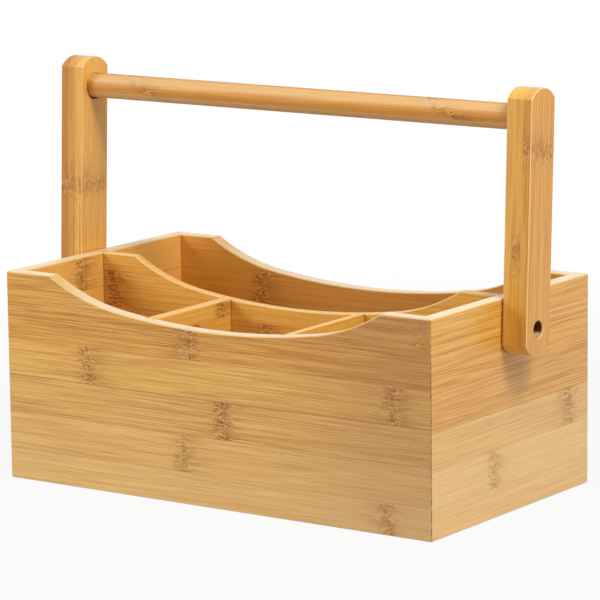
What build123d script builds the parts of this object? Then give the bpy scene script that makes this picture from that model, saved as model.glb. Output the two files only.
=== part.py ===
from build123d import *
from math import sqrt
import os

# A wooden utensil caddy: an open box with mitred corners, a scooped front, back and middle
# divider, and a handle of two posts and a round bar that swings on a screw at each end.
# Millimetres. X runs along the box to the right, Y to the back and Z up.
# The origin is on the table, under the middle of the box.

# The box, outside
box_length = 300.0
box_width = 171.0
box_height = 125.5
wall = 9.0
corner_round = 1.2          # radius down the four outer corners
edge_ease = 0.6             # chamfer along the top and bottom edges of the boards

# The scoop in the top edge: a shallow belly in the middle, a tighter shoulder at each side
scoop_length = 234.0        # from crest to crest
scoop_depth = 22.3
belly_length = 140.0
belly_radius = 466.0

# The dividers, which stand in housings: grooves cut across the boards that hold them
divider = 6.0
wall_housing = 3.0          # depth of a housing in a wall
divider_housing = 1.5       # depth of a housing in the long divider
housing_clearance = 0.1     # on each face of a divider
cells = 3                   # compartments along the front

# The floor, a loose panel in a groove round the walls
floor_height = 4.0          # underside of the panel above the table
floor_thickness = 5.0
floor_groove = 4.0          # depth of the groove
floor_gap = 0.5             # between the panel's edge and the bottom of its groove
floor_clearance = 0.2       # above the panel in its groove

# The handle, measured from the pivot with the handle upright
pivot_below_rim = 17.6
bar_above_pivot = 118.8
post_above_pivot = 136.8
post_below_pivot = 15.3
post_width = 25.2
post_thickness = 16.2
post_arch_radius = 16.0     # the curve of each end of a post, on its wide faces
post_ease = 0.4             # chamfer round the wide faces
handle_lean = 2.5           # degrees back from upright, as the handle stands
bar_diameter = 15.0
bar_end_chamfer = 0.8
socket_depth = 8.0          # blind hole for the bar in each post
socket_clearance = 0.6      # on the bar's radius
socket_chamfer = 0.2

# The pivot: a part-threaded screw through the post and the end board into the long divider
spacer_thickness = 0.8
spacer_diameter = 16.0
spacer_clearance = 0.1      # on the shank's radius
side_play = 0.1             # at each side of a post, along the screw
counterbore_diameter = 10.0
counterbore_depth = 8.0
counterbore_chamfer = 0.4
shank_diameter = 4.8
shank_clearance = 0.05      # running fit, on the radius
thread_diameter = 3.6
thread_length = 21.0
pilot_clearance = 0.05
point_length = 3.0
head_diameter = 8.5
head_height = 2.8
head_chamfer = 0.7
hex_size = 3.0              # across the flats of the hexagon socket
hex_depth = 1.6

inner_length = box_length - 2 * wall
inner_width = box_width - 2 * wall
floor_top = floor_height + floor_thickness
housing_width = divider + 2 * housing_clearance
pivot_height = box_height - pivot_below_rim
pivot_axis = Axis((0, 0, pivot_height), (1, 0, 0))
post_inner = box_length / 2 + spacer_thickness + side_play
post_outer = post_inner + post_thickness
counterbore_floor = post_outer - counterbore_depth
bar_lift = 0.85 * socket_clearance      # the bar lies high in its sockets, as a lifted bar does


def block(low, high):
    """A box between two opposite corners."""
    size = Vector(*high) - Vector(*low)
    return Pos(*low) * Box(size.X, size.Y, size.Z, align=(Align.MIN, Align.MIN, Align.MIN))


def turned(*profile):
    """A solid of revolution about the pivot axis, from points of (along X, radius)."""
    half_section = make_face(Polyline(*profile, close=True))
    return Pos(0, 0, pivot_height) * revolve(half_section, Axis.X)


def scoop():
    """What the long boards lose from their top edge, as a prism right across the box."""
    low = box_height - scoop_depth
    belly_half = belly_length / 2
    belly_end = low + belly_radius - sqrt(belly_radius**2 - belly_half**2)
    crest = scoop_length / 2
    over = box_height + scoop_depth
    belly = ThreePointArc((-belly_half, belly_end), (0, low), (belly_half, belly_end))
    shoulder = TangentArc((belly_half, belly_end), (crest, box_height), tangent=belly % 1)
    lid = Polyline((crest, box_height), (crest, over), (-crest, over), (-crest, box_height))
    outline = make_face([belly, shoulder, mirror(shoulder, Plane.YZ), lid])
    return extrude(Plane.XZ * outline, box_width, both=True)


def long_edges(board, y):
    """The edges of a board in the upright plane at y, without its upright ones."""
    in_plane = board.edges().filter_by(lambda edge: all(abs(v.Y - y) < 1e-4 for v in edge.vertices()))
    return [edge for edge in in_plane if edge not in in_plane.filter_by(Axis.Z)]


def floor_groove_cut():
    """The ring that the floor's groove takes out of the four walls."""
    length = inner_length + 2 * floor_groove
    width = inner_width + 2 * floor_groove
    height = floor_thickness + floor_clearance
    return Pos(0, 0, floor_height) * extrude(Rectangle(length, width), height)


def mitred_board(length, across, scooped):
    """A wall, in the place of the front one: a trapezium in plan, with its outer edges eased."""
    half = length / 2
    outer = -across / 2
    inner = outer + wall
    plan = Polyline((-half, outer), (half, outer), (half - wall, inner), (-half + wall, inner), close=True)
    eased = RectangleRounded(length, across, corner_round)
    board = extrude(make_face(plan) & eased, box_height)
    if scooped:
        board -= scoop()
    return chamfer(long_edges(board, outer) + long_edges(board, inner), edge_ease)


def cross_places():
    """X of each cross divider, which part the front half into equal cells."""
    cell = (inner_length - (cells - 1) * divider) / cells
    pitch = cell + divider
    return [(i - cells / 2) * pitch for i in range(1, cells)]


def cross_housing(x, y_low, y_high):
    """The housing that a cross divider slides down into, from above to the floor."""
    half = housing_width / 2
    return block((x - half, y_low, floor_top), (x + half, y_high, box_height + 1))


def front_board():
    board = mitred_board(box_length, box_width, scooped=True) - floor_groove_cut()
    face = -inner_width / 2
    for x in cross_places():
        board -= cross_housing(x, face - wall_housing, face)
    return board


def back_board():
    return mitred_board(box_length, box_width, scooped=True).rotate(Axis.Z, 180) - floor_groove_cut()


def right_end_board():
    board = mitred_board(box_width, box_length, scooped=False).rotate(Axis.Z, 90) - floor_groove_cut()
    face = inner_length / 2
    half = housing_width / 2
    housing = block((face, -half, floor_top), (face + wall_housing, half, box_height + 1))
    return board - housing - pilot_hole()


def pilot_hole():
    """The hole for the screw's thread, through the end board and into the long divider."""
    radius = thread_diameter / 2 + pilot_clearance
    outer = box_length / 2
    inner = outer - thread_length
    return turned((inner, 0), (inner, radius), (outer, radius), (outer, 0))


def floor_panel():
    grip = floor_groove - floor_gap
    panel = extrude(Rectangle(inner_length + 2 * grip, inner_width + 2 * grip), floor_thickness)
    return Pos(0, 0, floor_height) * panel


def long_divider():
    half = inner_length / 2 + wall_housing
    face = divider / 2
    board = block((-half, -face, floor_top), (half, face, box_height)) - scoop()
    top_edges = [e for e in long_edges(board, -face) + long_edges(board, face) if e.center().Z > floor_top + 1]
    board = chamfer(top_edges, edge_ease)
    for x in cross_places():
        board -= cross_housing(x, -face, -face + divider_housing)
    return board - pilot_hole() - mirror(pilot_hole(), Plane.YZ)


def cross_divider(x):
    half = divider / 2
    front = -inner_width / 2 - wall_housing
    back = -divider / 2 + divider_housing
    return block((x - half, front, floor_top), (x + half, back, box_height)) - scoop()


def post_outline():
    """A post's wide face: straight sides, and an arch at each end that meets them in a corner."""
    half = post_width / 2
    rise = post_arch_radius - sqrt(post_arch_radius**2 - half**2)
    top = post_above_pivot
    bottom = -post_below_pivot
    top_arch = ThreePointArc((-half, top - rise), (0, top), (half, top - rise))
    bottom_arch = ThreePointArc((-half, bottom + rise), (0, bottom), (half, bottom + rise))
    left_side = Line((-half, bottom + rise), (-half, top - rise))
    right_side = Line((half, bottom + rise), (half, top - rise))
    return make_face([top_arch, right_side, bottom_arch, left_side])


def pivot_bore():
    """The screw's way through a post: a bore for the shank and a counterbore for the head."""
    bore = shank_diameter / 2 + shank_clearance
    sink = counterbore_diameter / 2
    mouth = sink + counterbore_chamfer
    return turned(
        (post_inner, 0), (post_inner, bore), (counterbore_floor, bore), (counterbore_floor, sink),
        (post_outer - counterbore_chamfer, sink), (post_outer, mouth), (post_outer, 0),
    )


def bar_socket():
    """The blind hole that holds the bar's end, with a chamfered mouth."""
    radius = bar_diameter / 2 + socket_clearance
    mouth = radius + socket_chamfer
    floor = post_inner + socket_depth
    socket = turned(
        (post_inner, 0), (post_inner, mouth), (post_inner + socket_chamfer, radius), (floor, radius), (floor, 0),
    )
    return Pos(0, 0, bar_above_pivot) * socket


def leaned(piece):
    """Turn a piece of the handle back about the pivot, to where the handle stands."""
    return piece.rotate(pivot_axis, -handle_lean)


def right_post():
    blank = Pos(post_inner, 0, pivot_height) * extrude(Plane.YZ * post_outline(), post_thickness)
    wide_faces = blank.faces().filter_by(Axis.X)
    post = chamfer(wide_faces.edges(), post_ease)
    return leaned(post - pivot_bore() - bar_socket())


def handle_bar():
    half = post_inner + socket_depth
    bar = Rot(0, 90, 0) * Cylinder(bar_diameter / 2, 2 * half)
    bar = chamfer(bar.edges().filter_by(GeomType.CIRCLE), bar_end_chamfer)
    return leaned(Pos(0, 0, pivot_height + bar_above_pivot + bar_lift) * bar)


def right_spacer_washer():
    bore = shank_diameter / 2 + spacer_clearance
    rim = spacer_diameter / 2
    inner = box_length / 2
    outer = inner + spacer_thickness
    return turned((inner, bore), (inner, rim), (outer, rim), (outer, bore))


def right_pivot_screw():
    """A cheese head with a hexagon socket, a smooth shank for the post to turn on, and the thread."""
    under_head = counterbore_floor + side_play
    head_top = under_head + head_height
    shank_end = box_length / 2
    thread_end = shank_end - thread_length
    head = head_diameter / 2
    shank = shank_diameter / 2
    thread = thread_diameter / 2
    screw = turned(
        (thread_end, 0), (thread_end + point_length, thread), (shank_end, thread), (shank_end, shank),
        (under_head, shank), (under_head, head), (head_top - head_chamfer, head),
        (head_top, head - head_chamfer), (head_top, 0),
    )
    hexagon = RegularPolygon(hex_size / 2, 6, major_radius=False)
    socket = extrude(Plane.YZ * hexagon, hex_depth)
    return screw - Pos(head_top - hex_depth, 0, pivot_height) * socket


def left(piece):
    """The left-hand twin of a right-hand piece."""
    return mirror(piece, Plane.YZ)


parts = {
    "front_board": front_board(),
    "back_board": back_board(),
    "right_end_board": right_end_board(),
    "left_end_board": left(right_end_board()),
    "floor_panel": floor_panel(),
    "long_divider": long_divider(),
    "right_post": right_post(),
    "left_post": left(right_post()),
    "handle_bar": handle_bar(),
    "right_spacer_washer": right_spacer_washer(),
    "left_spacer_washer": left(right_spacer_washer()),
    "right_pivot_screw": right_pivot_screw(),
    "left_pivot_screw": left(right_pivot_screw()),
}
for name, x in zip(["left_cross_divider", "right_cross_divider"], cross_places()):
    parts[name] = cross_divider(x)

os.makedirs("parts", exist_ok=True)
for name, piece in parts.items():
    export_step(piece, f"parts/{name}.step")
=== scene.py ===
import math
from dataclasses import dataclass

import bpy
from mathutils import Matrix, Vector

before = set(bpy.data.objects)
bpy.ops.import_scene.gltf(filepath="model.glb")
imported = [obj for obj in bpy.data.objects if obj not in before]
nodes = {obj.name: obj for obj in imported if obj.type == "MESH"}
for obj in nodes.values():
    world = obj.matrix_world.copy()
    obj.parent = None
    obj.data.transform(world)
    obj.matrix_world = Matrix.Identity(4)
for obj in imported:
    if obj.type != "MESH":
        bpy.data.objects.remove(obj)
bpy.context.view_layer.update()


# ---------------------------------------------------------------- node helpers

class Nodes:
    """Short calls for building one material's node tree."""

    def __init__(self, name):
        self.material = bpy.data.materials.new(name)
        self.material.use_nodes = True
        self.tree = self.material.node_tree
        self.shader = self.tree.nodes["Principled BSDF"]

    def feed(self, socket, value):
        if isinstance(value, bpy.types.NodeSocket):
            self.tree.links.new(value, socket)
        else:
            socket.default_value = value

    def add(self, kind, inputs=None, **settings):
        node = self.tree.nodes.new("ShaderNode" + kind)
        for key, value in settings.items():
            setattr(node, key, value)
        for socket, value in (inputs or {}).items():
            self.feed(node.inputs[socket], value)
        return node

    def math(self, operation, *values, clamp=False):
        node = self.add("Math", operation=operation, use_clamp=clamp)
        for socket, value in zip(node.inputs, values):
            self.feed(socket, value)
        return node.outputs[0]

    def vector(self, operation, *values):
        node = self.add("VectorMath", operation=operation)
        for socket, value in zip(node.inputs, values):
            self.feed(socket, value)
        return node.outputs[0]

    def millimetres(self, origin=(0, 0, 0)):
        """The point in the frame, in millimetres from an origin in metres."""
        at = self.add("TexCoord").outputs["Object"]
        if any(origin):
            at = self.vector("SUBTRACT", at, origin)
        at = self.vector("SCALE", at)
        at.node.inputs["Scale"].default_value = 1000.0
        return at

    def combine(self, x, y, z):
        return self.add("CombineXYZ", {0: x, 1: y, 2: z}).outputs[0]

    def noise(self, vector, scale=(1, 1, 1), detail=2.0, roughness=0.5):
        """Noise whose features are about as large as scale, along each axis."""
        place = self.vector("MULTIPLY", vector, tuple(1 / s for s in scale))
        node = self.add("TexNoise", {"Vector": place, "Scale": 1.0, "Detail": detail})
        node.inputs["Roughness"].default_value = roughness
        return node.outputs[0]

    def chance(self, a, b, c):
        """A number from 0 to 1 that depends on three others and nothing else."""
        return self.add("TexWhiteNoise", {"Vector": self.combine(a, b, c)}, noise_dimensions="3D").outputs[0]

    def step(self, value, low, high, to_low=0.0, to_high=1.0):
        """A smooth rise from to_low to to_high as value goes from low to high."""
        node = self.add("MapRange", interpolation_type="SMOOTHSTEP", clamp=True)
        for socket, v in zip(node.inputs, (value, low, high, to_low, to_high)):
            self.feed(socket, v)
        return node.outputs[0]

    def bell(self, distance, width):
        """1 where distance is 0, falling off over width."""
        x = self.math("DIVIDE", distance, width)
        return self.math("EXPONENT", self.math("MULTIPLY", self.math("MULTIPLY", x, x), -1.0))

    def radius(self, a, b):
        """The distance from the axis that a and b are measured from."""
        return self.math("SQRT", self.math("ADD", self.math("MULTIPLY", a, a), self.math("MULTIPLY", b, b)))

    def mix(self, factor, a, b):
        """Colour a, with factor of colour b."""
        node = self.add("Mix", data_type="RGBA")
        self.feed(node.inputs[0], factor)
        self.feed(node.inputs[6], a)
        self.feed(node.inputs[7], b)
        return node.outputs[2]

    def lookup(self, index, rows):
        """The four numbers of row index, each from 0 to 1, as (red, green, blue, alpha)."""
        ramp = self.add("ValToRGB")
        ramp.color_ramp.interpolation = "CONSTANT"
        elements = ramp.color_ramp.elements
        while len(elements) > 1:
            elements.remove(elements[-1])
        elements[0].position = 0.0
        elements[0].color = rows[0]
        for i, row in enumerate(rows[1:], 1):
            elements.new(i / len(rows)).color = row
        place = self.math("DIVIDE", self.math("ADD", index, 0.5), float(len(rows)))
        self.feed(ramp.inputs[0], place)
        split = self.add("SeparateColor", {0: ramp.outputs[0]})
        return split.outputs[0], split.outputs[1], split.outputs[2], ramp.outputs[1]

    def finish(self, color, roughness, height=None, depth=0.0001, strength=0.22):
        self.feed(self.shader.inputs["Base Color"], color)
        self.feed(self.shader.inputs["Roughness"], roughness)
        if height is not None:
            bump = self.add("Bump", {"Strength": strength, "Distance": depth, "Height": height})
            self.feed(self.shader.inputs["Normal"], bump.outputs[0])
        return self.material


def srgb(r, g, b):
    """A colour written as it looks on a screen, 0 to 255, as the linear value that a shader takes."""
    def linear(c):
        c /= 255
        return c / 12.92 if c <= 0.04045 else ((c + 0.055) / 1.055) ** 2.4
    return (linear(r), linear(g), linear(b), 1.0)


# ---------------------------------------------------------------- bamboo
# Lengths here are in mm, in the frame.

HALF_LENGTH = 150.0  # of the box
HALF_WIDTH = 85.5
RIM = 125.5          # height of the box
WALL = 9.0           # thickness of a wall
DIVIDER = 6.0        # thickness of a divider
CROSS_AT = 48.0      # how far a cross divider is from the middle
BAR_RADIUS = 7.5
PIVOT = 107.9        # height of the handle's pivot
HOLE = 5.0           # radius of the hole over the pivot's screw
POST_IN, POST_OUT = 150.9, 167.1    # the wide faces of the right post
LEAN = 2.5           # degrees that the handle leans back
PITCH = 22.2         # height of a bamboo strip
SPAN = 500.0         # the stretch that a knot's place is given in
FAR = 240.0          # a place beyond any board, for a strip without a knot
BELOW = -220.0       # the same for an upright post

CREAM = srgb(238, 204, 150)
# the colour of a painted highlight: glare on the flat tops
GLARE_IVORY = srgb(250, 226, 188)
PALE = srgb(238, 190, 98)
HONEY = srgb(222, 162, 68)
TAN = srgb(188, 120, 42)
BROWN = srgb(146, 82, 22)
DRAB = srgb(150, 98, 50)
UMBER = srgb(92, 44, 10)
AMBER = srgb(196, 104, 22)
DUSK = srgb(150, 95, 67)
GOLD = srgb(250, 180, 62)


@dataclass
class Board:
    """How one board is laminated and coloured."""
    axes: str                   # the axes along the grain, across the strips and through the plies
    plies: list                 # for each ply, its strips from the lowest up, as strip() gives them
    row_origin: float = -3.2    # where the lowest strip starts
    pitch: float = PITCH        # width of a strip
    ply_origin: float = 0.0     # where the first ply starts
    ply: float = WALL / 2       # thickness of a ply
    seed: float = 0.0
    sawn: str = "z"             # the axis that the board's plain sawn edges face
    lean: bool = False          # whether it leans with the handle
    streaks: float = 1.0        # strength of the grain
    knots: float = 1.0          # strength of the knots
    slant: float = 0.0          # how far a knot runs along the grain for each mm across
    rim: float = 0.0            # how far the flat top edge is painted paler: a painted highlight standing in for glare off the lacquer
    arrises: float = 0.5        # how much paler the rounded edges are: partly paler sanded wood, partly a painted highlight
    gloss: float = 1.0          # of the lacquer
    amber: float = 0.0          # how far the board is deeper in colour
    gold: float = 0.0           # how far it is brighter in colour
    gold_ply: int = None        # the one ply that gold is for, or all of them
    dusk: tuple = None          # from, to, how far: the stretch along the grain over which it darkens
    joints: tuple = ()          # where along the grain other boards meet it
    joint_ply: int = 0          # in which ply they do
    mitre: float = None         # how far from the middle its outer face ends, at the mitres
    drilled: float = None       # the face, through the plies, from which the pivot's hole goes down


def strip(knot=FAR, tone=0.3, seam=0.25, every=500, strength=0.85, side=1, cream=0.0, deep=0.0):
    """One strip of a ply: where along the grain its knot is, tone from 0 pale to 1 dark, strength of the glue
    line above it, distance to the next knot, how strong the knot is, the side that it smears to (0 or 1), and
    how far the strip is mixed towards cream or towards brown."""
    return (knot / SPAN + 0.5, every / SPAN, tone, seam), (strength, float(side), cream, deep)


class Bamboo(Nodes):
    """Lacquered bamboo, laminated from strips."""

    def __init__(self, name, board):
        super().__init__(name)
        self.board = board
        self.locate()
        self.read_strip()
        self.bend_fibres()
        self.draw_grain()
        self.draw_seams()
        self.draw_knots()
        self.fade_on_edges()
        color = self.mark_edges(self.colour())
        # Painted shade and painted light in the pivot's hole.
        if board.drilled is not None:
            color = self.paint_hole_shade(color)
        self.lacquer(color)

    def scaled(self, *values):
        """The product of two or more values."""
        product = values[0]
        for value in values[1:]:
            product = self.math("MULTIPLY", product, value)
        return product

    def locate(self):
        """Finds the point along the grain (u), across the strips (v) and through the plies (w)."""
        board = self.board
        at = self.millimetres()
        if board.lean:
            turn = self.add("VectorRotate", {"Vector": at, "Center": (0, 0, PIVOT)}, rotation_type="X_AXIS")
            turn.inputs["Angle"].default_value = math.radians(LEAN)
            at = turn.outputs[0]
        split = self.add("SeparateXYZ", {0: at})
        self.u, self.v, self.w = (split.outputs["xyz".index(axis)] for axis in board.axes)
        self.lifted = self.math("DIVIDE", self.math("SUBTRACT", self.v, board.row_origin), board.pitch)
        self.row = self.math("FLOOR", self.lifted)
        self.level = self.math("DIVIDE", self.math("SUBTRACT", self.w, board.ply_origin), board.ply)
        self.layer = self.clamped(self.math("FLOOR", self.level), len(board.plies) - 1)

    def clamped(self, number, last):
        return self.math("MINIMUM", self.math("MAXIMUM", number, 0.0), float(last))

    def strip_index(self, row):
        rows = len(self.board.plies[0])
        return self.math("MULTIPLY_ADD", self.layer, float(rows), self.clamped(row, rows - 1))

    def read_strip(self):
        """Looks up what strip() says of the strip that the point is in."""
        strips = [one for ply in self.board.plies for one in ply]
        self.places = [one[0] for one in strips]
        index = self.strip_index(self.row)
        knot, every, self.tone, _ = self.lookup(index, self.places)
        strength, self.side, self.cream, self.deep = self.lookup(index, [one[1] for one in strips])
        self.strength = self.math("MULTIPLY", strength, self.board.knots)
        self.knot = self.math("MULTIPLY_ADD", knot, SPAN, -SPAN / 2)
        self.every = self.math("MULTIPLY", every, SPAN)
        self.shift = self.math("MULTIPLY", self.chance(self.row, self.layer, self.board.seed), 900.0)

    def bend_fibres(self):
        """Measures the distance from the nearest knot, and parts the fibres round it."""
        board, u, v, w = self.board, self.u, self.v, self.w
        half = self.math("MULTIPLY", self.every, 0.5)
        away = self.math("WRAP", self.math("SUBTRACT", u, self.knot), half, self.math("MULTIPLY", half, -1.0))
        if board.slant:
            across = self.math("SUBTRACT", v, board.row_origin + board.pitch / 2)
            away = self.math("MULTIPLY_ADD", across, board.slant, away)
        shifted = self.math("ADD", u, self.shift)
        own = self.combine(shifted, v, self.math("ADD", w, self.math("MULTIPLY", self.layer, 31.0)))
        wander = self.noise(own, (60, 6, 6), 1.0)
        self.away, self.own = away, own
        self.bent = self.math("ADD", away, self.math("MULTIPLY_ADD", wander, 8.0, -4.0))
        self.core = self.math("MULTIPLY", self.step(self.bell(self.bent, 6.4), 0.10, 0.80), self.strength)
        swerve = self.noise(own, (5, 4, 5), 1.0)
        swerve = self.math("MULTIPLY", self.math("MULTIPLY_ADD", swerve, 4.4, -2.2), self.bell(away, 13.0))
        drift = self.math("MULTIPLY_ADD", self.noise(own, (140, 30, 30), 0.0), 2.0, -1.0)
        self.fibre = self.combine(shifted, self.math("ADD", self.math("ADD", v, swerve), drift), w)

    def draw_grain(self):
        """Bands, streaks, single fibres and dark lines along the grain."""
        fibre = self.fibre
        self.bands = self.step(self.noise(fibre, (90, 2.4, 4), 2.0, 0.6), 0.36, 0.64)
        self.streak = self.step(self.noise(fibre, (60, 0.50, 1.3), 1.0, 0.5), 0.40, 0.60)
        self.hair = self.step(self.noise(fibre, (26, 0.32, 0.5), 1.0, 0.5), 0.34, 0.66)
        line = self.step(self.noise(fibre, (90, 0.8, 1.5), 1.0, 0.4), 0.57, 0.67)
        from_middle = self.math("MULTIPLY_ADD", self.math("FRACT", self.lifted), 2.0, -1.0)
        near_seam = self.step(self.math("ABSOLUTE", from_middle), 0.25, 1.0, 0.25, 1.0)
        patches = self.step(self.noise(self.own, (45, 9, 9), 1.0), 0.35, 0.6)
        self.line = self.scaled(line, near_seam, patches)

    def draw_seams(self):
        """Glue lines between strips and between plies."""
        board = self.board
        nearest = self.math("FLOOR", self.math("ADD", self.lifted, 0.5))
        below = self.strip_index(self.math("SUBTRACT", nearest, 1.0))
        seam_strength = self.lookup(below, self.places)[3]
        gap = self.scaled(self.math("ABSOLUTE", self.math("SUBTRACT", self.lifted, nearest)), board.pitch)
        reach = self.math("MULTIPLY_ADD", self.noise(self.own, (25, 3, 3), 1.0), 0.7, 0.35)
        self.seam = self.math("MULTIPLY", self.step(gap, 0.12, reach, 1.0, 0.0), seam_strength)
        if len(board.plies) > 1:
            joint = self.math("MAXIMUM", self.math("FLOOR", self.math("ADD", self.level, 0.5)), 1.0)
            joint = self.math("MINIMUM", joint, float(len(board.plies) - 1))
            gap = self.scaled(self.math("ABSOLUTE", self.math("SUBTRACT", self.level, joint)), board.ply)
            self.seam = self.math("MAXIMUM", self.seam, self.step(gap, 0.05, 0.22, 0.22, 0.0))

    def draw_knots(self):
        """Curls of fibre, short wisps, a wandering column of dark dots, and a smear to one side."""
        own, bent, away, strength = self.own, self.bent, self.away, self.strength
        warp = self.noise(own, (3, 2.4, 3), 1.0)
        depth = self.math("ADD", self.w, self.math("MULTIPLY", self.row, 7.7))
        curl_at = self.combine(bent, self.math("MULTIPLY_ADD", warp, 2.0, self.v), depth)
        curls = self.math("SINE", self.math("MULTIPLY", self.noise(curl_at, (3.6, 2.5, 4), 1.0, 0.4), 22.0))
        patchy = self.step(self.noise(own, (3.5, 3.5, 4), 0.0), 0.36, 0.6, 0.15, 1.0)
        self.loops = self.scaled(self.step(curls, 0.15, 0.9), self.core, patchy)
        self.bright = self.math("MULTIPLY", self.step(curls, -0.9, -0.2, 1.0, 0.0), self.core)
        threads = self.step(self.noise(self.fibre, (11, 0.8, 2), 1.0), 0.50, 0.62)
        self.wisps = self.scaled(self.bell(away, 10.0), strength, threads)
        beat = self.math("SINE", self.math("MULTIPLY_ADD", self.v, 2.2, self.math("MULTIPLY", warp, 3.0)))
        column = self.bell(self.math("SUBTRACT", bent, 0.5), 0.8)
        self.dots = self.scaled(column, self.step(beat, 0.1, 0.7), strength)
        toward = self.math("MULTIPLY_ADD", self.side, 2.0, -1.0)
        behind = self.math("MAXIMUM", self.math("MULTIPLY", away, toward), 0.0)
        ahead = self.math("MAXIMUM", self.scaled(away, self.math("MULTIPLY", toward, -1.0)), 0.0)
        stains = self.step(self.noise(self.fibre, (14, 2.4, 3), 2.0), 0.36, 0.62)
        self.smear = self.scaled(self.bell(behind, 14.0), self.bell(ahead, 5.0), strength, stains)

    def fade_on_edges(self):
        """Makes the sawn edges plainer than the faces."""
        self.facing = self.add("SeparateXYZ", {0: self.add("TexCoord").outputs["Normal"]})
        self.up = self.math("ABSOLUTE", self.facing.outputs["xyz".index(self.board.sawn)])
        self.top = self.step(self.up, 0.35, 0.9)
        self.plain = self.math("MULTIPLY_ADD", self.top, -0.85, 1.0)
        self.core, self.loops, self.dots, self.bright = (
            self.math("MULTIPLY", mark, self.plain) for mark in (self.core, self.loops, self.dots, self.bright))

    def colour(self):
        """The colour of the bamboo, without its edges."""
        board, streaks, plain = self.board, self.board.streaks, self.plain
        body = self.math("MULTIPLY_ADD", self.bands, 0.20, self.math("MULTIPLY", self.streak, 0.44))
        body = self.math("MULTIPLY_ADD", self.hair, 0.28, body)
        body = self.math("MULTIPLY", body, self.math("MULTIPLY_ADD", self.top, -0.7 * streaks, streaks))
        body = self.math("ADD", body, self.math("ADD", self.tone, -0.32 * streaks), clamp=True)
        color = self.mix(self.step(body, 0.0, 0.5), PALE, HONEY)
        color = self.mix(self.step(body, 0.4, 1.0), color, TAN)
        color = self.mix(self.scaled(self.line, 0.46 * streaks, plain), color, BROWN)
        if board.amber:
            color = self.mix(board.amber, color, AMBER)
        if board.gold:
            here = 1.0 if board.gold_ply is None else self.in_ply(board.gold_ply)
            color = self.mix(self.math("MULTIPLY", here, board.gold), color, GOLD)
        # dusk darkens a stretch along the grain: on the front board it is painted shade, the falloff of the
        # light towards its right end; on the back board a plain darker stretch.
        if board.dusk:
            start, end, depth = board.dusk
            color = self.mix(self.step(self.u, start, end, 0.0, depth), color, DUSK)
        color = self.mix(self.cream, color, CREAM)
        color = self.mix(self.deep, color, BROWN)
        # Painted highlight: flat tops are mixed towards ivory for the glare that the lacquer shows there.
        if board.rim:
            color = self.mix(self.step(self.up, 0.84, 0.99, 0.0, board.rim), color, GLARE_IVORY)
        for amount, tint in (
                (self.scaled(self.smear, 0.50, plain), BROWN),
                (self.scaled(self.seam, 0.62, plain), DRAB),
                (self.scaled(self.core, 0.16), BROWN),
                (self.scaled(self.bright, 0.55), PALE),
                (self.scaled(self.wisps, plain, 0.55), BROWN),
                (self.scaled(self.loops, 0.72), BROWN),
                (self.scaled(self.dots, 0.50), UMBER)):
            color = self.mix(amount, color, tint)
        return color

    def in_ply(self, ply):
        return self.math("COMPARE", self.layer, float(ply), 0.1)

    def mark_edges(self, color):
        """Pale arrises, partly paler sanded wood and partly a painted highlight; dark glue lines at the mitres;
        and dark lines where other boards meet this one, partly glue and partly painted shade.
        """
        board, v = self.board, self.v
        tilt = self.math("ABSOLUTE", self.facing.outputs["xyz".index(board.axes[2])])
        arris = self.scaled(self.step(tilt, 0.12, 0.45), self.step(tilt, 0.85, 0.98, 1.0, 0.0))
        if board.mitre:
            out = self.math("ABSOLUTE", self.u)
            end = self.step(out, board.mitre - 1.3, board.mitre - 0.9)
            arris = self.math("MULTIPLY", arris, self.math("SUBTRACT", 1.0, end))
            crack = self.step(out, board.mitre - 0.75, board.mitre - 0.45)
            broken = self.noise(self.combine(0.0, v, board.seed), (1, 3.5, 1), 2.0)
            broken = self.step(broken, 0.35, 0.62, 0.2, 0.8)
            broken = self.scaled(broken, self.step(v, RIM - 34.0, RIM - 12.0, 1.0, 0.1))
            color = self.mix(self.scaled(crack, broken), color, UMBER)
        # Pale arrises: partly paler sanded wood, partly a painted highlight on the rounded edges.
        color = self.mix(self.math("MULTIPLY", arris, board.arrises), color, CREAM)
        # Partly painted shade: a thin dark line where another board meets this one, a glue line that also
        # stands in for the shade in the joint's gap.
        for place in board.joints:
            reach = self.math("ABSOLUTE", self.math("SUBTRACT", self.u, place))
            near = self.step(reach, 0.25, 0.6, 1.0, 0.0)
            below_rim = self.step(v, RIM - 1.2, RIM - 0.6, 1.0, 0.0)
            mark = self.scaled(near, below_rim, self.in_ply(board.joint_ply), 0.35)
            color = self.mix(mark, color, UMBER)
        return color

    def paint_hole_shade(self, color):
        """Paints shade on the wall of the drilled hole, darker with depth, and a painted lit patch low on its
        back side.
        """
        rise, v = self.math("SUBTRACT", self.u, PIVOT), self.v
        depth = self.math("ABSOLUTE", self.math("SUBTRACT", self.w, self.board.drilled))
        in_hole = self.step(self.radius(rise, v), HOLE + 0.05, HOLE + 0.3, 1.0, 0.0)
        hole_shade = self.math("MULTIPLY", self.step(depth, 0.3, 1.6), in_hole)
        lit_side = self.math("MULTIPLY_ADD", rise, -0.78, self.math("MULTIPLY", v, 0.62))
        # Painted light: a cream patch on the lit side of the hole's wall.
        lit_patch = self.math("MULTIPLY", hole_shade, self.step(lit_side, HOLE - 0.7, HOLE - 0.1, 0.0, 0.8))
        color = self.mix(self.math("MULTIPLY", hole_shade, 0.95), color, UMBER)
        return self.mix(lit_patch, color, CREAM)

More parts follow.
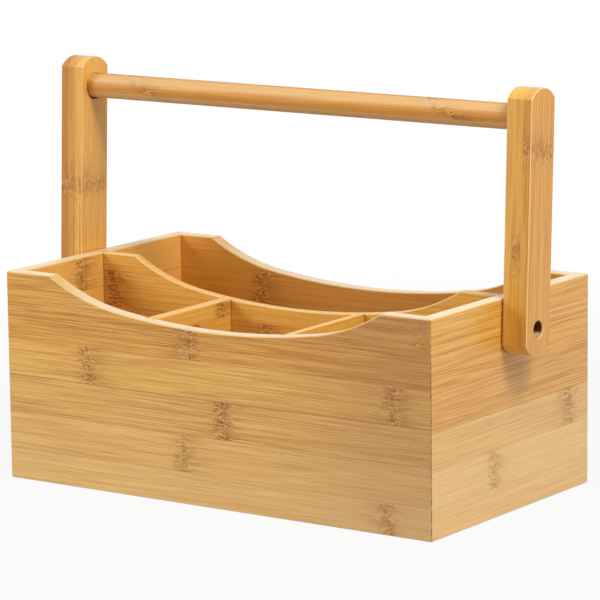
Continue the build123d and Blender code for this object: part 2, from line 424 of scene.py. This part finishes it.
    def lacquer(self, color):
        """Lacquer over a surface that still shows its fibres."""
        gloss = self.board.gloss
        roughness = self.math("MULTIPLY_ADD", self.streak, 0.08, 0.50 - 0.20 * gloss)
        roughness = self.math("ADD", roughness, self.math("MULTIPLY", self.core, 0.12))
        self.shader.inputs["Specular IOR Level"].default_value = 0.4
        self.shader.inputs["Coat Weight"].default_value = 0.25 * gloss
        self.shader.inputs["Coat Roughness"].default_value = 0.16
        height = self.math("MULTIPLY_ADD", self.hair, -0.25, self.math("MULTIPLY", self.streak, -0.35))
        for mark, size in ((self.line, -0.5), (self.seam, -1.0), (self.loops, -0.8), (self.dots, -1.0)):
            height = self.math("MULTIPLY_ADD", mark, size, height)
        self.finish(color, roughness, height)


def bamboo(name, axes, plies, **look):
    return Bamboo(name, Board(axes, plies, **look)).material


FRONT_OUT = [
    strip(121.3, 0.22, 0.35, strength=0.65, side=0, cream=0.34),
    strip(-20.5, 0.24, 0.30, strength=0.6, side=1, cream=0.24),
    strip(7.0, 0.36, 0.85, strength=1.0, side=1, cream=0.14),
    strip(-90.0, 0.22, 0.40, every=214.5, strength=0.85, side=1, cream=0.06),
    strip(-15.0, 0.44, 0.35, strength=0.9, side=0),
    strip(144.6, 0.38, 0.3, strength=0.2, side=1),
]
FRONT_IN = [
    strip(60, 0.2, 0.4), strip(-112, 0.3, 0.3), strip(-40, 0.15, 0.5),
    strip(88, 0.25, 0.3), strip(-120, 0.2, 0.4), strip(FAR, 0.3, 0.3),
]
BACK_OUT = [
    strip(-60, 0.25, 0.4, every=290, cream=0.3), strip(95, 0.36, 0.3, cream=0.2),
    strip(-118, 0.28, 0.7, every=260, cream=0.1), strip(30, 0.42, 0.4),
    strip(-72, 0.3, 0.35), strip(128, 0.34, 0.3),
]
BACK_IN = [
    strip(80, 0.2, 0.3), strip(-30, 0.3, 0.3), strip(110, 0.2, 0.3),
    strip(10, 0.35, 0.3), strip(-79, 0.24, 0.4, strength=1.0), strip(FAR, 0.2, 0.3),
]
RIGHT_OUT = [
    strip(FAR, 0.22, 0.2, cream=0.42), strip(-20.2, 0.14, 0.15, strength=0.5, cream=0.46),
    strip(63.5, 0.34, 0.3, strength=0.75, side=0, cream=0.34), strip(FAR, 0.48, 0.3, cream=0.08),
    strip(FAR, 0.42, 0.2), strip(FAR, 0.34, 0.3),
]
RIGHT_IN = [
    strip(-40, 0.2, 0.3), strip(32, 0.3, 0.3), strip(-55, 0.2, 0.5),
    strip(44, 0.3, 0.3), strip(-12, 0.2, 0.4), strip(52, 0.3, 0.3),
]
LEFT_OUT = [
    strip(38, 0.25, 0.3, cream=0.4), strip(-52, 0.3, 0.5, cream=0.3), strip(10, 0.35, 0.4, cream=0.1),
    strip(-30, 0.25, 0.3), strip(58, 0.3, 0.3), strip(-14, 0.36, 0.3),
]
# Painted light: the inside face of the left end is given the palest tones and some cream, so that the inside of
# the box looks as bright as the outside.
LEFT_IN = [
    strip(20, 0.1, 0.3), strip(-40, 0.2, 0.3), strip(50, 0.1, 0.5),
    strip(36, 0.15, 0.3), strip(FAR, 0.05, 0.5, cream=0.12),
    strip(-24.4, 0.0, 0.3, strength=1.0, cream=0.16),
]
LONG_FRONT = [
    strip(40, 0.2, 0.3), strip(-70, 0.3, 0.3), strip(110, 0.25, 0.4),
    strip(-20, 0.35, 0.4), strip(-134.8, 0.10, 0.5, strength=1.0), strip(FAR, 0.05, 0.3),
]
LONG_BACK = [
    strip(-90, 0.3, 0.3), strip(50, 0.4, 0.3), strip(-20, 0.35, 0.4),
    strip(120, 0.4, 0.4), strip(15, 0.36, 0.5), strip(-110, 0.3, 0.3),
]
# Painted light: the cross dividers are given the palest tones, for light inside the box.
CROSS_LEFT = [
    strip(-60, 0.1, 0.3), strip(-30, 0.1, 0.3), strip(-66, 0.1, 0.4),
    strip(-40, 0.1, 0.3), strip(-11.5, 0.04, 0.4, strength=1.0), strip(FAR, 0.0, 0.3),
]
CROSS_RIGHT = [
    strip(-40, 0.1, 0.3), strip(-70, 0.1, 0.3), strip(-20, 0.1, 0.4),
    strip(-55, 0.1, 0.4), strip(FAR, 0.0, 0.5), strip(FAR, 0.0, 0.3),
]
FLOOR = [
    strip(-100, 0.3, 0.4), strip(35, 0.42, 0.35), strip(-60, 0.28, 0.4), strip(120, 0.36, 0.4),
    strip(-20, 0.3, 0.35), strip(78, 0.44, 0.4), strip(-128, 0.3, 0.35), strip(10, 0.36, 0.35),
]
LEFT_POST = [
    [strip(166.7, 0.85, 0.1, deep=0.38)], [strip(166.7, 0.70, 0.1, deep=0.10)],
    [strip(166.7, 0.20, 0.1)],
]
RIGHT_POST = [
    [strip(BELOW, 0.36, 0.1)], [strip(151.0, 0.44, 0.1)], [strip(208.0, 0.56, 0.1, deep=0.06)],
]
BAR = [
    [strip(-104, 0.82, 0.1, every=215, deep=0.06)], [strip(-110, 0.86, 0.1, every=226, deep=0.06)],
]

WALLS = (-141.0, -51.2, -44.8, 44.8, 51.2, 141.0)     # faces of the boards that meet a long one
ENDS = (-76.5, -3.2, 3.2, 76.5)                       # faces of the boards that meet an end board
CROSS_ENDS = (-76.3, -3.2)                            # where a cross divider enters its housings
HALF_DIVIDER = DIVIDER / 2
# The front board's dusk is painted shade, darker towards its right end.
board_front = bamboo(
    "bamboo_front", "xzy", [FRONT_OUT, FRONT_IN], ply_origin=-HALF_WIDTH, seed=1.0, rim=0.7,
    dusk=(20.0, 135.0, 0.36), mitre=HALF_LENGTH, joints=WALLS, joint_ply=1)
board_back = bamboo(
    "bamboo_back", "xzy", [BACK_IN, BACK_OUT], ply_origin=HALF_WIDTH - WALL, seed=2.0, rim=0.7, amber=0.30,
    gold=0.25, dusk=(-115.0, -30.0, 0.34), mitre=HALF_LENGTH, joints=(WALLS[0], WALLS[-1]), joint_ply=0)
board_right = bamboo(
    "bamboo_right", "yzx", [RIGHT_IN, RIGHT_OUT], row_origin=-4.3, pitch=21.9, ply_origin=HALF_LENGTH - WALL,
    seed=3.0, streaks=0.85, rim=0.7, mitre=HALF_WIDTH, joints=ENDS, joint_ply=0)
# Painted light: gold on the left end's inner ply brightens the inside face.
board_left = bamboo(
    "bamboo_left", "yzx", [LEFT_OUT, LEFT_IN], row_origin=-5.0, pitch=22.0, ply_origin=-HALF_LENGTH, seed=4.0,
    gloss=0.5, gold=0.65, gold_ply=1, rim=0.7, mitre=HALF_WIDTH, joints=ENDS, joint_ply=1)
panel = bamboo(
    "bamboo_floor", "xyz", [FLOOR], row_origin=-88.8, ply_origin=4.0, ply=5.0, seed=5.0, sawn="y")
# Painted light: the dividers' gold brightens them inside the box.
divider_long = bamboo(
    "bamboo_long_divider", "xzy", [LONG_FRONT, LONG_BACK], row_origin=4.0, ply_origin=-HALF_DIVIDER,
    ply=HALF_DIVIDER, seed=6.0, gloss=0.5, gold=0.25, joints=WALLS)
divider_left = bamboo(
    "bamboo_left_divider", "yzx", [CROSS_RIGHT, CROSS_LEFT], row_origin=7.0,
    ply_origin=-CROSS_AT - HALF_DIVIDER, ply=HALF_DIVIDER, seed=7.0, gloss=0.5, gold=0.35,
    joints=CROSS_ENDS, joint_ply=1)
divider_right = bamboo(
    "bamboo_right_divider", "yzx", [CROSS_LEFT, CROSS_RIGHT], row_origin=2.0,
    ply_origin=CROSS_AT - HALF_DIVIDER, ply=HALF_DIVIDER, seed=8.0, gloss=0.5, gold=0.40,
    joints=CROSS_ENDS, joint_ply=1)
post_left = bamboo(
    "bamboo_left_post", "zyx", LEFT_POST, row_origin=-13.0, pitch=26.0, ply_origin=-POST_OUT, ply=5.4,
    seed=9.0, arrises=0.85, lean=True, streaks=0.8, knots=0.65, amber=0.06, gold=0.30, drilled=-POST_OUT)
post_right = bamboo(
    "bamboo_right_post", "zyx", RIGHT_POST, row_origin=-13.0, pitch=26.0, ply_origin=POST_IN, ply=5.4,
    seed=10.0, arrises=0.85, lean=True, streaks=0.62, knots=0.8, gold=0.12, drilled=POST_OUT)
bar = bamboo(
    "bamboo_bar", "xzy", BAR, row_origin=215.0, ply_origin=-BAR_RADIUS, ply=BAR_RADIUS, seed=11.0,
    lean=True, sawn="x", gloss=0.1, gold=0.24, streaks=0.9, slant=2.2)


# ---------------------------------------------------------------- small parts

def steel():
    """Dark plated steel, turned: fine rings about the screw's axis and small stains."""
    n = Nodes("screw_steel_finish")
    at = n.millimetres(origin=(0, 0, PIVOT / 1000))
    x, y, z = n.add("SeparateXYZ", {0: at}).outputs
    rings = n.noise(n.combine(n.math("MULTIPLY", n.radius(y, z), 9.0), n.math("MULTIPLY", x, 5.0), 0.0))
    stains = n.noise(at, (1.6, 1.6, 1.6), 4.0, 0.6)
    color = n.mix(n.step(stains, 0.35, 0.7), srgb(112, 106, 96), srgb(84, 78, 68))
    color = n.mix(n.math("MULTIPLY", rings, 0.3), color, srgb(66, 62, 56))
    n.shader.inputs["Metallic"].default_value = 1.0
    return n.finish(color, n.math("MULTIPLY_ADD", stains, 0.22, 0.22), rings, 0.00004, 0.5)


def nylon():
    """Dark moulded nylon with a fine grain."""
    n = Nodes("spacer_plastic_finish")
    at = n.millimetres()
    grain = n.noise(at, (0.35, 0.35, 0.35), 3.0, 0.6)
    cloud = n.noise(at, (4, 4, 4), 2.0)
    color = n.mix(cloud, srgb(58, 50, 42), srgb(78, 68, 56))
    color = n.mix(n.math("MULTIPLY", grain, 0.35), color, srgb(100, 88, 72))
    return n.finish(color, n.math("MULTIPLY_ADD", grain, 0.2, 0.45), grain, 0.00005, 0.4)


metal = steel()
plastic = nylon()

finishes = {
    "front_board": board_front,
    "back_board": board_back,
    "right_end_board": board_right,
    "left_end_board": board_left,
    "floor_panel": panel,
    "long_divider": divider_long,
    "left_cross_divider": divider_left,
    "right_cross_divider": divider_right,
    "left_post": post_left,
    "right_post": post_right,
    "handle_bar": bar,
    "left_spacer_washer": plastic,
    "right_spacer_washer": plastic,
    "left_pivot_screw": metal,
    "right_pivot_screw": metal,
}


# ---------------------------------------------------------------- edges

def soften(piece, width):
    """Rounds every edge of a CAD node a little, as sanding does, without touching its mesh."""
    weld = piece.modifiers.new("weld", "WELD")
    weld.merge_threshold = 1e-6
    bevel = piece.modifiers.new("bevel", "BEVEL")
    bevel.width = width
    bevel.segments = 2
    bevel.limit_method = "ANGLE"
    bevel.angle_limit = math.radians(28)
    bevel.use_clamp_overlap = True
    bevel.miter_outer = "MITER_SHARP"
    normals = piece.modifiers.new("normals", "WEIGHTED_NORMAL")
    normals.keep_sharp = False
    normals.weight = 60


# how wide the rounding is, in metres, by a word in the piece's name, and for all other pieces
widths = {"screw": 0.00012, "washer": 0.00015, "divider": 0.0003, "post": 0.0004, "bar": 0.0003}
other_width = 0.00035

for name, finish in finishes.items():
    piece = nodes[name]
    for slot in piece.material_slots:
        slot.link = "OBJECT"
        slot.material = finish
    soften(piece, next((width for word, width in widths.items() if word in name), other_width))


# ---------------------------------------------------------------- floor, light, camera

def make_floor():
    """The ground: white to the eye, but for a soft shadow near the part."""
    mesh = bpy.data.meshes.new("studio_floor")
    reach, sides, drop = 6.0, 64, 0.0002     # the drop keeps it from flickering with the box's underside
    turns = [2 * math.pi * i / sides for i in range(sides)]
    rim = [(reach * math.cos(turn), reach * math.sin(turn), -drop) for turn in turns]
    mesh.from_pydata(rim, [], [tuple(range(sides))])
    floor = bpy.data.objects.new("studio_floor", mesh)
    bpy.context.scene.collection.objects.link(floor)
    n = Nodes("studio_floor_finish")
    at = n.add("TexCoord").outputs["Object"]
    paper = n.noise(at, (0.02, 0.02, 0.02), 3.0)
    n.feed(n.shader.inputs["Base Color"], n.mix(paper, (0.54, 0.54, 0.54, 1), (0.58, 0.58, 0.58, 1)))
    n.shader.inputs["Roughness"].default_value = 0.9
    n.shader.inputs["Specular IOR Level"].default_value = 0.0
    glow = n.add("Emission", {"Color": (1, 1, 1, 1), "Strength": 1.0})
    path = n.add("LightPath")
    shown = n.math("MAXIMUM", path.outputs["Is Camera Ray"], path.outputs["Is Glossy Ray"])
    shown = n.math("MAXIMUM", shown, path.outputs["Is Transmission Ray"])
    away = n.add("VectorMath", {0: at}, operation="LENGTH").outputs["Value"]
    white = n.math("MULTIPLY", shown, n.step(away, 0.3, 0.8, 0.90, 1.0))
    blend = n.add("MixShader", {0: white, 1: n.shader.outputs[0], 2: glow.outputs[0]})
    n.tree.links.new(blend.outputs[0], n.tree.nodes["Material Output"].inputs["Surface"])
    mesh.materials.append(n.material)


def make_world():
    """Grey light from all round, and white wherever the background itself is seen or mirrored."""
    world = bpy.data.worlds.new("studio")
    world.use_nodes = True
    tree = world.node_tree
    light = tree.nodes["Background"]
    backdrop = tree.nodes.new("ShaderNodeBackground")
    for background, grey in ((light, 0.30), (backdrop, 1.0)):
        background.inputs["Color"].default_value = (grey, grey, grey, 1)
        background.inputs["Strength"].default_value = 1.0
    path = tree.nodes.new("ShaderNodeLightPath")
    seen = path.outputs["Is Camera Ray"]
    for ray in ("Is Glossy Ray", "Is Transmission Ray"):
        either = tree.nodes.new("ShaderNodeMath")
        either.operation = "MAXIMUM"
        tree.links.new(seen, either.inputs[0])
        tree.links.new(path.outputs[ray], either.inputs[1])
        seen = either.outputs[0]
    blend = tree.nodes.new("ShaderNodeMixShader")
    tree.links.new(seen, blend.inputs[0])
    tree.links.new(light.outputs[0], blend.inputs[1])
    tree.links.new(backdrop.outputs[0], blend.inputs[2])
    tree.links.new(blend.outputs[0], tree.nodes["World Output"].inputs["Surface"])
    bpy.context.scene.world = world


def lamp(name, place, target, size, power):
    """A square lamp at place that shines at target, in metres and watts."""
    data = bpy.data.lights.new(name, "AREA")
    data.shape = "SQUARE"
    data.size = size
    data.energy = power
    light = bpy.data.objects.new(name, data)
    light.location = place
    light.visible_camera = False
    light.rotation_euler = (Vector(place) - Vector(target)).to_track_quat("Z", "Y").to_euler()
    bpy.context.scene.collection.objects.link(light)


def make_camera():
    """The camera of the photo, as fitted to the corners of the box."""
    azimuth, elevation, roll = math.radians(34.91), math.radians(10.40), math.radians(-0.666)
    target, distance = Vector((-0.00732, 0.01512, 0.1058)), 2.1307
    back = Vector((math.sin(azimuth) * math.cos(elevation), -math.cos(azimuth) * math.cos(elevation),
                   math.sin(elevation)))
    right = (-back).cross(Vector((0, 0, 1))).normalized()
    up = right.cross(-back)
    c, s = math.cos(roll), math.sin(roll)
    right, up = c * right + s * up, -s * right + c * up
    data = bpy.data.cameras.new("camera")
    data.sensor_width = 36.0
    data.lens = 214.62
    data.clip_end = 50.0
    camera = bpy.data.objects.new("camera", data)
    turn = Matrix((right, up, back)).transposed().to_4x4()
    camera.matrix_world = Matrix.Translation(target + back * distance) @ turn
    bpy.context.scene.collection.objects.link(camera)
    bpy.context.scene.camera = camera


make_floor()
make_world()
lamp("left_key", (-0.95, -0.95, 0.72), (0, 0, 0.08), size=0.6, power=10.3)
lamp("right_key", (1.05, -0.42, 1.45), (0, 0, 0.1), size=0.34, power=11.6)
lamp("right_fill", (1.4, -0.3, 0.35), (0, 0, 0.1), size=1.0, power=2.2)
lamp("right_over", (0.7, -0.1, 0.8), (-0.1, 0, 0.1), size=0.4, power=3.0)
make_camera()
bpy.context.scene.view_settings.view_transform = "Standard"
